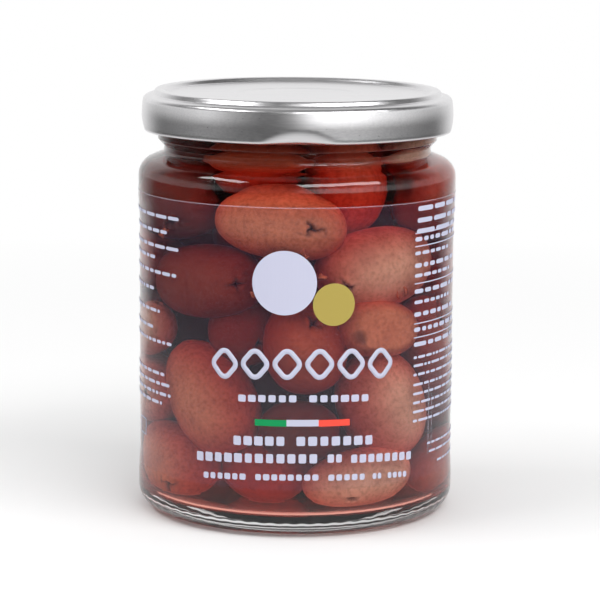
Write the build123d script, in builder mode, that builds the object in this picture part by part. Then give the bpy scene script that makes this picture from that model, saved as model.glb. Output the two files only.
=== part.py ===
"""A closed glass jar of olives in brine, with a twist-off steel lid and a clear wrap-round label.

The jar stands on +Z with its origin at the centre of its foot. Lengths are in millimetres, angles in
degrees. Every round piece is one profile in the XZ plane, turned about Z.
"""
from build123d import *
from math import cos, radians, tan
import os

os.makedirs("parts", exist_ok=True)

# Glass: overall sizes
jar_height = 97.0  # foot to the top of the rim
body_diameter = 74.0  # over the shoulder and heel bands
neck_diameter = 62.2  # waist between the shoulder and the collar
wall = 2.5  # body and shoulder glass
neck_wall = 2.1

# Glass: stretches of the finish and the body
finish_height = 13.1  # rim down to the root of the neck
collar_reach = 1.4  # the ring of glass below the lid stands this much beyond the neck
collar_drop = 10.0  # rim down to the foot of the collar
collar_slope = 1.6  # height over which the neck flares out to the collar
heel_band = 9.0  # foot to the top of the heel band
shoulder_band_drop = 10.4  # root of the neck down to the foot of the shoulder band
band_slope = 5.0  # height over which a band eases into the label panel
panel_recess = 0.3  # how far the label panel lies inside the bands

# Glass: shoulder, rim and foot
shoulder_angle = 23.0  # slope of the shoulder, from level
shoulder_radius = 4.5
neck_fillet = 1.0
rim_inner_radius = 0.6
rim_outer_radius = 0.9
rim_width = 3.9  # glass across the rim, before the thread ridge
heel_radius = 5.0
floor_height = 4.6  # foot to the inside floor at its edge
floor_rise = 1.6  # the inside floor is domed by this much
floor_corner_radius = 4.5
punt_height = 3.0  # hollow under the foot
punt_edge_inset = 10.5  # body side to the inner edge of the bearing ring
bearing_inset = 7.0  # body side to the middle of the knurls
dome_radius = 15.0  # rounding of the punt and of the inside floor

# Glass: knurls on the bearing ring, which the jar stands on
knurl_count = 64
knurl_height = 0.35
knurl_length = 3.0
knurl_width = 1.7

# Glass: thread ridge that the lid's lugs hook under
ridge_reach = 1.4  # beyond the collar
ridge_top_drop = 2.6  # rim down to the top of the ridge
ridge_height = 2.2
ridge_radius = 0.6

# Brine with olives
head_space = 6.0  # rim down to the brine

# Label: clear film round the body
film_thickness = 0.1
label_foot = 11.4  # foot of the jar to the film's lower edge
label_drop = 8.5  # root of the neck down to the film's upper edge

# Lid: twist-off steel cap
steel = 0.4
skirt_clearance = 1.9  # thread ridge to the inside of the skirt
skirt_overlap = 8.0  # rim of the glass down to the foot of the lid
bead_height = 1.0  # the ring stands this much above the panel
bead_width = 1.9
bead_slope = 0.4
bead_radius = 0.7
shoulder_step = 1.15  # top of the ring down to the lid's outer shoulder
shoulder_fall = 0.25  # the outer shoulder slopes down by this much
corner_radius = 1.2
panel_corner_radius = 0.6
button_diameter = 29.0
button_step = 0.3
button_slope = 1.2
curl_radius = 0.8
lug_count = 4
lug_arc = 30.0
lug_turn = 3.3  # where the first lug stands, turned from the front
lug_height = 2.9  # the skirt is pressed in over this height
lug_clearance = 0.6  # lug to collar

# Worked out from the sizes above
body_radius = body_diameter / 2
panel_radius = body_radius - panel_recess
neck_radius = neck_diameter / 2
collar_radius = neck_radius + collar_reach
mouth_radius = neck_radius - neck_wall
inner_radius = body_radius - wall
ridge_outer = collar_radius + ridge_reach
rim_outer = mouth_radius + rim_width
neck_root = jar_height - finish_height
shoulder_slope = tan(radians(shoulder_angle))
shoulder_corner = neck_root - (body_radius - neck_radius) * shoulder_slope
inner_cone_drop = wall / cos(radians(shoulder_angle))
inner_shoulder_corner = neck_root - (inner_radius - neck_radius) * shoulder_slope - inner_cone_drop
inner_neck_corner = neck_root - (mouth_radius - neck_radius) * shoulder_slope - inner_cone_drop
shoulder_band_foot = neck_root - shoulder_band_drop
panel_top = shoulder_band_foot - band_slope
panel_foot = heel_band + band_slope
punt_edge = body_radius - punt_edge_inset
collar_foot = jar_height - collar_drop
ridge_top = jar_height - ridge_top_drop
ridge_foot = ridge_top - ridge_height
brine_level = jar_height - head_space
label_top = neck_root - label_drop


def band_radius_at(height):
    """Outer radius of the glass at a height within the label's reach."""
    below = max(0.0, panel_foot - height)
    above = max(0.0, height - panel_top)
    return panel_radius + panel_recess * min(1.0, max(below, above) / band_slope)


def turned(points, radii):
    """Fillet a profile's inner corners and close it along the axis, as a sketch to turn about Z."""
    with BuildSketch(Plane.XZ) as sketch:
        with BuildLine():
            FilletPolyline(*points, radius=radii)
            Polyline(points[-1], (0, points[-1][1]), points[0])
        make_face()
    return sketch.sketch


# Outline of the inside, shared by the cavity and the brine that fills it
cavity_points = [
    (0, floor_height + floor_rise),
    (inner_radius / 3, floor_height + floor_rise),
    (inner_radius * 2 / 3, floor_height),
    (inner_radius, floor_height),
    (inner_radius, inner_shoulder_corner),
    (mouth_radius, inner_neck_corner),
]
cavity_radii = [dome_radius, dome_radius, floor_corner_radius, shoulder_radius - wall]
inner_neck_fillet = neck_fillet + wall

with BuildPart() as cavity:
    add(turned(cavity_points + [(mouth_radius, jar_height)], cavity_radii + [inner_neck_fillet]))
    revolve(axis=Axis.Z)

glass_points = [
    (0, punt_height),
    (punt_edge / 2, punt_height),
    (punt_edge, knurl_height),
    (body_radius, knurl_height),
    (body_radius, shoulder_corner),
    (neck_radius, neck_root),
    (neck_radius, collar_foot - collar_slope),
    (collar_radius, collar_foot),
    (collar_radius, ridge_foot),
    (ridge_outer, ridge_foot),
    (ridge_outer, ridge_top),
    (rim_outer, ridge_top),
    (rim_outer, jar_height),
    (mouth_radius, jar_height),
]
glass_radii = [
    dome_radius,
    bearing_inset / 3,
    heel_radius,
    shoulder_radius,
    neck_fillet,
    neck_fillet / 2,
    neck_fillet / 2,
    ridge_radius / 2,
    ridge_radius,
    ridge_radius,
    ridge_radius / 2,
    rim_outer_radius,
]
panel_points = [
    (body_radius, heel_band),
    (panel_radius, panel_foot),
    (panel_radius, panel_top),
    (body_radius, shoulder_band_foot),
]

with BuildPart() as glass_jar:
    add(turned(glass_points, glass_radii))
    revolve(axis=Axis.Z)
    # The shallow panel that the label lies in
    with BuildSketch(Plane.XZ):
        with BuildLine():
            Polyline(*panel_points, close=True)
        make_face()
    revolve(axis=Axis.Z, mode=Mode.SUBTRACT)
    # Knurls: short raised bars round the bearing ring
    with PolarLocations(body_radius - bearing_inset, knurl_count):
        Box(
            knurl_length,
            knurl_width,
            2 * knurl_height,
            align=(Align.CENTER, Align.CENTER, Align.MIN),
        )
    add(cavity.part, mode=Mode.SUBTRACT)
    # Rounded inner edge of the mouth
    mouth_edge = glass_jar.edges().filter_by(GeomType.CIRCLE).group_by(Axis.Z)[-1].sort_by(SortBy.RADIUS)[0]
    fillet(mouth_edge, rim_inner_radius)

glass_jar.part.label = "glass_jar"
export_step(glass_jar.part, "parts/glass_jar.step")

with BuildPart() as brine:
    add(turned(cavity_points + [(mouth_radius, brine_level)], cavity_radii + [inner_neck_fillet]))
    revolve(axis=Axis.Z)

brine.part.label = "brine_with_olives"
export_step(brine.part, "parts/brine_with_olives.step")

with BuildPart() as label:
    film_inside = [
        (band_radius_at(label_foot), label_foot),
        (panel_radius, panel_foot),
        (panel_radius, panel_top),
        (body_radius, shoulder_band_foot),
        (band_radius_at(label_top), label_top),
    ]
    film_outside = [(radius + film_thickness, height) for radius, height in reversed(film_inside)]
    with BuildSketch(Plane.XZ):
        with BuildLine():
            Polyline(*film_inside, *film_outside, close=True)
        make_face()
    revolve(axis=Axis.Z)

label.part.label = "label"
export_step(label.part, "parts/label.step")

# Lid: its panel lies on the rim, and its lugs reach under the thread ridge
panel_z = jar_height + steel
lid_top = panel_z + bead_height
lid_radius = ridge_outer + skirt_clearance + steel
lid_foot = jar_height - skirt_overlap
press_top = lid_foot + lug_height
bead_outer = rim_outer + steel / 2
bead_inner = bead_outer - bead_width
button_radius = button_diameter / 2
curl_height = lid_foot + curl_radius
curl_centre = lid_radius - curl_radius
lug_centre = collar_radius + lug_clearance + curl_radius

lid_points = [
    (0, panel_z - button_step),
    (button_radius - button_slope / 2, panel_z - button_step),
    (button_radius + button_slope / 2, panel_z),
    (bead_inner - bead_slope, panel_z),
    (bead_inner, lid_top),
    (bead_outer, lid_top),
    (bead_outer + bead_slope, lid_top - shoulder_step),
    (lid_radius, lid_top - shoulder_step - shoulder_fall),
    (lid_radius, press_top),
]
lid_radii = [
    button_slope,
    button_slope,
    panel_corner_radius,
    bead_radius,
    bead_radius,
    panel_corner_radius,
    corner_radius,
]


def steel_strip(points, radii):
    """Sheet steel of even thickness below and inside a line, as a sketch to turn about Z."""
    with BuildSketch(Plane.XZ) as sketch:
        with BuildLine():
            if radii:
                FilletPolyline(*points, radius=radii)
            else:
                Polyline(*points)
            offset(amount=steel, side=Side.RIGHT)
        make_face()
    return sketch.sketch


with BuildPart() as lug:
    add(steel_strip([(lid_radius, press_top), (lug_centre + curl_radius, curl_height)], []))
    with BuildSketch(Plane.XZ):
        with Locations((lug_centre, curl_height)):
            Circle(curl_radius)
    revolve(axis=Axis.Z, revolution_arc=lug_arc)

with BuildPart() as skirt_foot:
    add(steel_strip([(lid_radius, press_top), (lid_radius, curl_height)], []))
    with BuildSketch(Plane.XZ):
        with Locations((curl_centre, curl_height)):
            Circle(curl_radius)
    revolve(axis=Axis.Z, revolution_arc=360 / lug_count - lug_arc)

with BuildPart() as lid:
    add(steel_strip(lid_points, lid_radii))
    revolve(axis=Axis.Z)
    with PolarLocations(0, lug_count, start_angle=lug_turn - lug_arc / 2):
        add(lug.part)
    with PolarLocations(0, lug_count, start_angle=lug_turn + lug_arc / 2):
        add(skirt_foot.part)

lid.part.label = "lid"
export_step(lid.part, "parts/lid.step")
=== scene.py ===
# %% [markdown]
# # A jar of olives in brine
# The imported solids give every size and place. This script adds what they leave out: clear moulded
# glass, brine that bends and stains the light, fifty-one olives, a film label with its print, and a
# pressed steel lid. Lengths are in millimetres until a mesh is made, where they become metres.

# %% Load the frame
from math import acos, atan2, ceil, cos, hypot, pi, radians, sin, sqrt, tan

import bmesh
import bpy
import numpy as np
from mathutils import Matrix, Vector


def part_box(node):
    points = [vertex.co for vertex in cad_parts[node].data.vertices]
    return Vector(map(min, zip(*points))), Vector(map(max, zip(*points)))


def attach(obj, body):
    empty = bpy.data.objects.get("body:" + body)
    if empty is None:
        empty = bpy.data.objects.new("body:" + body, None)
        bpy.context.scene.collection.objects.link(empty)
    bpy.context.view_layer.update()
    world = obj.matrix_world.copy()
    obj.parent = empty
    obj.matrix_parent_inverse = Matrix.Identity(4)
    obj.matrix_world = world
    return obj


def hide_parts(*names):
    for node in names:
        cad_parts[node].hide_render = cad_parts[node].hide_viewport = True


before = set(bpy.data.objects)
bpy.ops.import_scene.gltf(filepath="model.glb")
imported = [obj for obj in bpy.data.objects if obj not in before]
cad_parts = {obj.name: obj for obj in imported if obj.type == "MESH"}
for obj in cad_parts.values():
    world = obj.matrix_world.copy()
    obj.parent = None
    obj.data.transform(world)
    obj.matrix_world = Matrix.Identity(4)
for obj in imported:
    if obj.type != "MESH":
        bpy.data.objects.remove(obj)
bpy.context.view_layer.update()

MM = 0.001


def box_mm(node):
    """Lowest and highest corner of a CAD node, in millimetres."""
    low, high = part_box(node)
    return low / MM, high / MM


_, glass_high = box_mm("glass_jar")
lid_low, lid_high = box_mm("lid")
label_low, label_high = box_mm("label")
brine_low, brine_high = box_mm("brine_with_olives")
body_radius = glass_high.x
lid_radius = lid_high.x
inner_radius = brine_high.x
rim_z = glass_high.z
print("body", round(body_radius, 2), "bore", round(inner_radius, 2), "rim at", round(rim_z, 2))

# %% [markdown]
# ## Colours and nodes
# Colours are picked as screen hex values, and one function turns them to the linear values that
# shaders use. A second function adds any node with its settings and links, so that each material
# below reads as a short list.


# %% Helpers for colours and nodes
def linear(hex_colour):
    """Linear RGBA for an sRGB hex colour."""
    parts = [int(hex_colour[i : i + 2], 16) / 255 for i in (1, 3, 5)]
    curve = [c / 12.92 if c <= 0.04045 else ((c + 0.055) / 1.055) ** 2.4 for c in parts]
    return (*curve, 1.0)


def add_node(tree, kind, settings=None, *values, **inputs):
    """Add a node with its settings, and link or set its inputs.

    Settings are named options, the stops of a colour ramp, or just the name of an operation. Inputs
    are values, nodes or sockets: in order, by name with _ for a space, or by number, as _6.
    """
    node = tree.nodes.new(kind)
    if isinstance(settings, str):
        settings = {"operation": settings}
    for name, value in (settings or {}).items():
        if name != "stops":
            setattr(node, name, value)
            continue
        marks = node.color_ramp.elements
        while len(marks) < len(value):
            marks.new(0.5)
        for mark, (place, colour) in zip(marks, value):
            mark.position = place
            mark.color = linear(colour) if isinstance(colour, str) else (colour, colour, colour, 1)
    given = dict(enumerate(values))
    for name, value in inputs.items():
        given[int(name[1:]) if name[0] == "_" else name.replace("_", " ")] = value
    for key, value in given.items():
        if isinstance(value, bpy.types.Node):
            value = value.outputs[0]
        if isinstance(value, bpy.types.NodeSocket):
            tree.links.new(value, node.inputs[key])
        else:
            node.inputs[key].default_value = value
    return node


def new_material(name):
    """A node material and its empty tree."""
    material = bpy.data.materials.new(name)
    material.use_nodes = True
    material.node_tree.nodes.clear()
    return material, material.node_tree


RAMP, MATHS, RANGE = "ShaderNodeValToRGB", "ShaderNodeMath", "ShaderNodeMapRange"
MIX, NOISE, COORDS = "ShaderNodeMix", "ShaderNodeTexNoise", "ShaderNodeTexCoord"
VALUE, SPLIT, JOIN = "ShaderNodeAttribute", "ShaderNodeSeparateXYZ", "ShaderNodeCombineXYZ"
PRINCIPLED, OUTPUT = "ShaderNodeBsdfPrincipled", "ShaderNodeOutputMaterial"
MULTIPLIED = {"data_type": "RGBA", "blend_type": "MULTIPLY"}
WHITE = (1, 1, 1, 1)


# %% [markdown]
# ## Turned shapes
# Glass, brine, film and lid are all turned about the jar's axis. Each is an outline of a few
# corners with rounding radii, which a function turns into points, and a second function spins into
# a closed mesh. A third argument lets a piece bend the spun points, as the knurls and the lid's
# lugs need.


# %% Helpers for outlines and turned meshes
def rounded(corners, step=0.35):
    """Points of an outline of (r, z, radius) corners, with an arc where a corner has a radius."""
    points = []
    last = len(corners) - 1
    for i, (r, z, radius) in enumerate(corners):
        here = np.array([r, z])
        if radius == 0 or i in (0, last):
            points.append(here)
            continue
        before = np.array(corners[i - 1][:2]) - here
        after = np.array(corners[i + 1][:2]) - here
        before /= np.linalg.norm(before)
        after /= np.linalg.norm(after)
        half = acos(np.clip(before @ after, -1, 1)) / 2
        tangent = radius / tan(half)
        middle = (before + after) / np.linalg.norm(before + after)
        centre = here + middle * radius / sin(half)
        start = here + before * tangent - centre
        end = here + after * tangent - centre
        a0, a1 = atan2(start[1], start[0]), atan2(end[1], end[0])
        turn = (a1 - a0 + pi) % (2 * pi) - pi
        count = max(3, ceil(abs(turn) * radius / step), ceil(abs(turn) / radians(9)))
        for k in range(count + 1):
            a = a0 + turn * k / count
            points.append(centre + radius * np.array([cos(a), sin(a)]))
    return np.array(points)


def filled_in(points, longest):
    """The same outline with long straight runs divided, so that a bent wall stays smooth."""
    out = [points[0]]
    for a, b in zip(points[:-1], points[1:]):
        count = max(1, ceil(np.linalg.norm(b - a) / longest))
        out += [a + (b - a) * k / count for k in range(1, count + 1)]
    return np.array(out)


def in_scene(name, data):
    """An object at the origin that holds a mesh, a lamp or a camera."""
    obj = bpy.data.objects.new(name, data)
    bpy.context.scene.collection.objects.link(obj)
    return obj


def turn_outward(mesh):
    """Turn every face of a closed mesh outward, so that light knows which side is the inside."""
    shell = bmesh.new()
    shell.from_mesh(mesh)
    bmesh.ops.recalc_face_normals(shell, faces=shell.faces)
    shell.to_mesh(mesh)
    shell.free()


def mesh_object(name, vertices, faces):
    """A smooth-shaded object from vertices in millimetres."""
    mesh = bpy.data.meshes.new(name)
    mesh.from_pydata([tuple(v * MM for v in p) for p in vertices], [], [tuple(f) for f in faces])
    turn_outward(mesh)
    mesh.polygons.foreach_set("use_smooth", [True] * len(mesh.polygons))
    return in_scene(name, mesh)


def add_values(mesh, name, values):
    """Give a mesh a number at each point, which node trees read by its name."""
    layer = mesh.attributes.new(name, "FLOAT", "POINT")
    layer.data.foreach_set("value", np.array(values, dtype=float))


def ring_faces(rows, spokes, closed=False):
    """Quads between rings of points, and a fan at each end unless the last ring meets the first.

    The fans' middles are the two points that come after the rings.
    """
    index = np.arange(rows * spokes).reshape(rows, spokes)
    beside = np.roll(index, -1, axis=1)
    upper, upper_beside = np.roll(index, -1, axis=0), np.roll(beside, -1, axis=0)
    used = slice(None) if closed else slice(0, rows - 1)
    quads = np.stack([index, beside, upper_beside, upper], -1)[used].reshape(-1, 4).tolist()
    if closed:
        return quads
    first, last = rows * spokes, rows * spokes + 1
    fans = [(first, b, a) for a, b in zip(index[0].tolist(), beside[0].tolist())]
    fans += [(last, a, b) for a, b in zip(index[-1].tolist(), beside[-1].tolist())]
    return quads + fans


def turned(name, outline, segments, bend=None, ring=False):
    """Spin an outline about Z. It runs from axis to axis, or closes on itself as a ring."""
    angles = np.arange(segments) * 2 * pi / segments
    body = outline if ring else outline[1:-1]
    r, z = body[:, 0][:, None], body[:, 1][:, None]
    grid = np.stack([r * np.cos(angles), r * np.sin(angles), z + 0 * angles], -1)
    if bend is not None:
        grid = bend(grid, angles)
    vertices = grid.reshape(-1, 3)
    if not ring:
        vertices = np.vstack([vertices, [0, 0, outline[0][1]], [0, 0, outline[-1][1]]])
    faces = ring_faces(len(body), segments, ring)
    obj = mesh_object(name, vertices, faces)
    print(name, len(vertices), "vertices,", sum(len(f) - 2 for f in faces), "triangles")
    return obj


def wave(angles, seed, count=4):
    """A smooth random value round the circle, about -1 to 1, the same every run."""
    draw = np.random.default_rng(seed)
    total = 0
    for k in range(1, count + 1):
        total = total + draw.normal() / k * np.cos(k * angles + draw.uniform(0, 2 * pi))
    return total / 1.5


# %% [markdown]
# ## The glass
# A food jar is blown in a mould: the outside is crisp, the inside is whatever the blow left, so its
# wall varies by a tenth of a millimetre and bends what lies behind it. The foot stands on a ring of
# knurls. The outline follows the solid's: punt, bearing ring, heel, label panel, shoulder, neck,
# collar, rim, then down the bore.

# %% Glass outline
wall = 2.5
floor_z = brine_low.z
floor_corner = 4.5  # rounding between the inside floor and the bore
dome = 1.6  # the inside floor rises by this much to its middle
dome_rounding = 15.0
punt_height = 3.0
punt_radius = 26.5
knurl_height = 0.35
knurl_count = 64
bearing_radius = body_radius - 7.0
neck_radius = 31.1
collar_radius = 32.5
collar_foot = rim_z - 10.0
thread_radius = 33.9
thread_top, thread_foot = rim_z - 2.6, rim_z - 4.8
rim_radius = 32.9
mouth_radius = 29.0
neck_root = rim_z - 13.1
shoulder_angle = radians(23.0)
slope = tan(shoulder_angle)
shoulder_corner = neck_root - (body_radius - neck_radius) * slope
cone_drop = wall / cos(shoulder_angle)
inner_shoulder = neck_root - (inner_radius - neck_radius) * slope - cone_drop
inner_neck = neck_root - (mouth_radius - neck_radius) * slope - cone_drop
# The label lies in a shallow panel between two bands, which stand out and protect it
band_rise = 0.3
band_slope = 5.0  # height over which a band eases into the panel
panel_radius = body_radius - band_rise
panel_foot, panel_top = 14.0, 68.5
band_rounding = 6.0

outside = [
    (0, punt_height, 0),
    (13.2, punt_height, dome_rounding),
    (punt_radius, knurl_height, 2.3),
    (body_radius, knurl_height, 5.0),
    (body_radius, panel_foot - band_slope, band_rounding),
    (panel_radius, panel_foot, band_rounding),
    (panel_radius, panel_top, band_rounding),
    (body_radius, panel_top + band_slope, band_rounding),
    (body_radius, shoulder_corner, 4.5),
    (neck_radius, neck_root, 1.0),
    (neck_radius, collar_foot - 1.6, 0.5),
    (collar_radius, collar_foot, 0.5),
    (collar_radius, thread_foot, 0.3),
    (thread_radius, thread_foot, 0.6),
    (thread_radius, thread_top, 0.6),
    (rim_radius, thread_top, 0.3),
    (rim_radius, rim_z, 0.9),
    (mouth_radius, rim_z, 0.6),
]


def inside(reach):
    """Corners of the bore from the top of the neck to the floor, grown outwards by reach."""
    return [
        (mouth_radius + reach, inner_neck, 3.5),
        (inner_radius + reach, inner_shoulder, 2.0),
        (inner_radius + reach, floor_z - reach, floor_corner + reach),
        (inner_radius * 2 / 3, floor_z - reach, dome_rounding),
        (inner_radius / 3, floor_z + dome - reach, dome_rounding),
        (0, floor_z + dome - reach, 0),
    ]


heel_notch = 0.05  # depth of the grooves between the knurls where they run up the heel
slow_drift, quick_drift = 0.10, 0.05  # how far the bore strays, in long waves and in short ones


def glass_bend(grid, angles):
    """Raise the knurls of the bearing ring and heel, and let the bore stray as a blown one does."""
    r = np.hypot(grid[..., 0], grid[..., 1])
    z = grid[..., 2]
    on_ring = np.exp(-(((r - bearing_radius) / 1.6) ** 4)) * (z < 1.0)
    knurl = np.clip(0.5 + 1.6 * np.cos(knurl_count * angles), 0, 1)
    grid[..., 2] = z - knurl_height * on_ring * knurl
    on_heel = np.exp(-(((z - 2.6) / 1.7) ** 4)) * (r > bearing_radius + 2)
    notch = heel_notch * on_heel * (1 - knurl)
    grid[..., 0] -= notch * np.cos(angles)
    grid[..., 1] -= notch * np.sin(angles)
    inner = (r < inner_radius + 0.01) & (z > floor_z - 0.01) & (r > 5)
    drift = slow_drift * wave(angles, 11) * np.sin(z / 17)
    drift = drift + quick_drift * wave(angles, 12, 9) * np.cos(z / 7)
    # The drift fades out towards the floor and the mouth
    fade = np.clip((z - floor_z - 3) / 8, 0, 1) * np.clip((rim_z - 8 - z) / 6, 0, 1)
    move = np.where(inner, drift * fade, 0)
    grid[..., 0] += move * np.cos(angles)
    grid[..., 1] += move * np.sin(angles)
    return grid


glass_outline = filled_in(rounded(outside + inside(0), 1.0), 6.0)
print("glass outline", len(glass_outline), "points")

# %% [markdown]
# Flint glass for food is a soda-lime glass with an IOR of 1.52 and hardly any tint. Its surface is
# fire polished, so it has no roughness at all: to the eye it is only sharp highlights and what it
# bends. Where brine wets it, glass and brine are so alike that the inner face mirrors very little.
# Each point knows whether it is wet, and the mirror is dimmed there, which keeps the olives clear
# and deep in colour.


# %% Glass jar
def clear_glass():
    """Moulded soda-lime glass."""
    material, tree = new_material("moulded_flint_glass")
    wet = add_node(tree, VALUE, {"attribute_name": "wet"}).outputs["Fac"]
    dimmed = add_node(tree, RAMP, {"stops": [(0.0, "#ffffff"), (1.0, "#3a3a3a")]}, wet)
    shader = add_node(
        tree,
        PRINCIPLED,
        Base_Color=linear("#fbfdfd"),
        Roughness=0.0,
        IOR=1.52,
        Specular_Tint=dimmed,
        Transmission_Weight=1.0,
    )
    add_node(tree, OUTPUT, Surface=shader)
    return material


segments = 8 * knurl_count
glass = turned("glass_jar_moulded", glass_outline, segments, glass_bend)
# The outline reaches the bore at the mouth, and from there on all below the brine's level is wet
line_r, line_z = glass_outline.T
past_mouth = np.cumsum((line_r < mouth_radius + 0.01) & (line_z > neck_root)) > 0
wet_rows = past_mouth & (line_z < brine_high.z)
punt_point, floor_point = False, True  # the two points on the axis, which come last
add_values(
    glass.data, "wet", np.append(np.repeat(wet_rows[1:-1], segments), [punt_point, floor_point])
)
glass.data.materials.append(clear_glass())
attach(glass, "root")
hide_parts("glass_jar")

# %% [markdown]
# ## The brine
# The brine has taken up colour from the olives. It reaches a little way into the wall, so that no
# film of air shows between them: a ray then goes from air to glass to brine as it does in the real
# jar. Its red is absorbed light, deeper the further the ray travels, so it is a volume and not a
# surface colour: olives against the glass look orange-brown, and those behind them sink into dark
# red.


# %% Brine
def brine_material():
    """Salt water with the olives' colour: it absorbs green and blue within a centimetre or two."""
    material, tree = new_material("olive_brine")
    shader = add_node(
        tree,
        PRINCIPLED,
        Base_Color=WHITE,
        Roughness=0.0,
        IOR=1.34,
        Specular_Tint=(0, 0, 0, 1),
        Transmission_Weight=1.0,
    )
    volume = add_node(tree, "ShaderNodeVolumeAbsorption", Color=linear("#ee644a"), Density=135.0)
    add_node(tree, OUTPUT, Surface=shader, Volume=volume)
    return material


brine_reach = 0.2  # how far the brine reaches into the glass
brine_corners = [(0, brine_high.z, 0), (mouth_radius + brine_reach, brine_high.z, 0)]
brine_corners += inside(brine_reach)
brine_outline = filled_in(rounded(brine_corners), 3.0)
brine = turned("brine", brine_outline, 192)
brine.data.materials.append(brine_material())
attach(brine, "root")
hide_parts("brine_with_olives")

# %% [markdown]
# ## The olives
# Kalamon olives are long ovals, 16 to 29 mm by 12 to 20 mm, and no two are alike. Those against the
# front of the glass are placed one by one, from the outside in: turn round the jar, height, lean,
# length and width. The rest are dropped in by a rule: each is a chain of balls that is pushed off
# its neighbours and the wall until the jar is full.

# %% Places of the olives
# turn (deg, right of the front), height (mm), lean (deg), length, width, depth behind the wall and
# tone, then the cut: degrees from the olive's end, degrees above its middle line, and size in mm
front_olives = [
    (-7, 70.5, -6, 28, 16.5, 0, 0.50, 56, 6, 3.2),
    (31, 79.5, -88, 24, 17.5, 2.5, 0.93, 20, 100, 1.8),
    (-67, 72.5, 4, 29, 15.5, 0, 0.08, 60, -30, 2.8),
    (-45, 56.5, 6, 28.5, 17, 0, 0.10, 30, -6, 2.2),
    (41, 60, 6, 27.5, 19.5, 0, 0.80, 150, -25, 2.4),
    (4, 42.5, -78, 21.5, 17.5, 0, 0.50, 125, 25, 2.4),
    (-44, 29.5, -57, 27.5, 19, 0, 0.76, 165, 60, 1.6),
    (46, 28, -65, 26, 19.5, 0, 1.10, 160, 90, 1.6),
    (29, 12, 7, 25.5, 14.5, 0, 1.10, 110, -32, 1.4),
    (75, 40, -60, 27.5, 14, 0, 0.30, 120, 10, 3.0),
    (-52, 14, -26, 21.5, 18, 2, 0.65, 60, -35, 2.8),
    (42, 42, -23, 20, 14, 4, 0.70, 40, 150, 1.6),
    (2, 24, -42, 18, 14.5, 6, 0.40, 30, 90, 1.6),
    (78, 75.5, -39, 24, 12, 0, 0.95, 60, 90, 1.6),
    (84, 13, -30, 26.5, 13.5, 0, 0.40, 60, 120, 1.6),
    (-65, 43.5, 14, 19.5, 12, 3, 0.90, 40, 90, 1.6),
    (-33, 40.5, 0, 16, 15.5, 6, 0.35, 40, 120, 1.6),
    (-17, 85.5, 3, 25, 14.5, 0, 0.50, 170, 40, 1.6),
]
main_olives = 10  # the first ten hold their places
nudged = 0.4  # the other placed ones give way by this share of what a loose one does
filler_count = 33
outer_fillers = 19  # these go round the back and sides, the others down the middle
olive_seed = 7
clearance = 0.2  # brine between a settled olive and the glass


def tangent_frame(turn):
    """Outward, sideways and upward directions at a turn round the jar."""
    a = radians(turn)
    out = np.array([sin(a), -cos(a), 0.0])
    side = np.array([cos(a), sin(a), 0.0])
    return out, side, np.array([0.0, 0.0, 1.0])


def tilted(level, up, degrees):
    """A direction that rises from a level one by so many degrees."""
    return cos(radians(degrees)) * level + sin(radians(degrees)) * up


def wall_room(height):
    """Radius of the bore at a height."""
    if height < floor_z + floor_corner:
        lift = min(floor_z + floor_corner - height, floor_corner)
        return inner_radius - floor_corner + sqrt(max(0.0, floor_corner**2 - lift**2))
    if height > inner_shoulder:
        share = min(1.0, (height - inner_shoulder) / (inner_neck - inner_shoulder))
        return inner_radius + (mouth_radius - inner_radius) * share
    return inner_radius


chain = np.linspace(-0.72, 0.72, 5)
full_ends = 0.12  # an olive's ends are this much fuller than an oval's


def balls(centre, axis, length, width):
    """Centres and radii of the balls that stand in for an olive."""
    places = centre + np.outer(chain * length / 2, axis)
    radii = width / 2 * np.sqrt(1 - chain**2) * (0.98 + full_ends * chain**2)
    return places, radii


def seat_front(turn, height, lean, length, width, depth):
    """Centre and axis of an olive whose outermost ball touches the wall."""
    out, side, up = tangent_frame(turn)
    axis = tilted(side, up, lean)
    distance = 5.0
    while distance < inner_radius:
        places, radii = balls(out * distance + up * height, axis, length, width)
        gap = min(wall_room(p[2]) - hypot(p[0], p[1]) - r for p, r in zip(places, radii))
        if gap < clearance + depth:
            break
        distance += 0.1
    return out * distance + up * height, axis


centres, axes, sizes, tones, cuts, loose = [], [], [], [], [], []
for turn, height, lean, length, width, depth, tone, *cut in front_olives:
    centre, axis = seat_front(turn, height, lean, length, width, depth)
    centres.append(centre)
    axes.append(axis)
    sizes.append((length, width))
    tones.append(tone)
    cuts.append(cut)
    loose.append(0.0 if len(loose) < main_olives else nudged)
draw = np.random.default_rng(olive_seed)
for k in range(filler_count):
    outer = k < outer_fillers
    turn = draw.uniform(95, 265) if outer else draw.uniform(0, 360)
    out, side, up = tangent_frame(turn)
    centres.append(out * (draw.uniform(18, 26) if outer else 6.0) + up * draw.uniform(14, 84))
    axes.append(tilted(side, up, draw.uniform(-90, 90)))
    sizes.append((draw.uniform(23, 28.5), draw.uniform(15.5, 19.5)))
    # The olives in the middle of the jar get painted shade in their tone: dark, save near the foot,
    # where light comes up through the glass
    shade = 1 if outer else 0.05 if centres[-1][2] > 30 else 0.6
    tones.append(draw.uniform(0.25, 1) * shade)
    cuts.append((draw.uniform(14, 60), draw.uniform(-90, 90), draw.uniform(1.4, 2.6)))
    loose.append(1.0)
centres, axes, sizes, loose = map(np.array, (centres, axes, sizes, loose))
print(len(centres), "olives, of which", len(front_olives), "are placed by hand")


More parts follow.
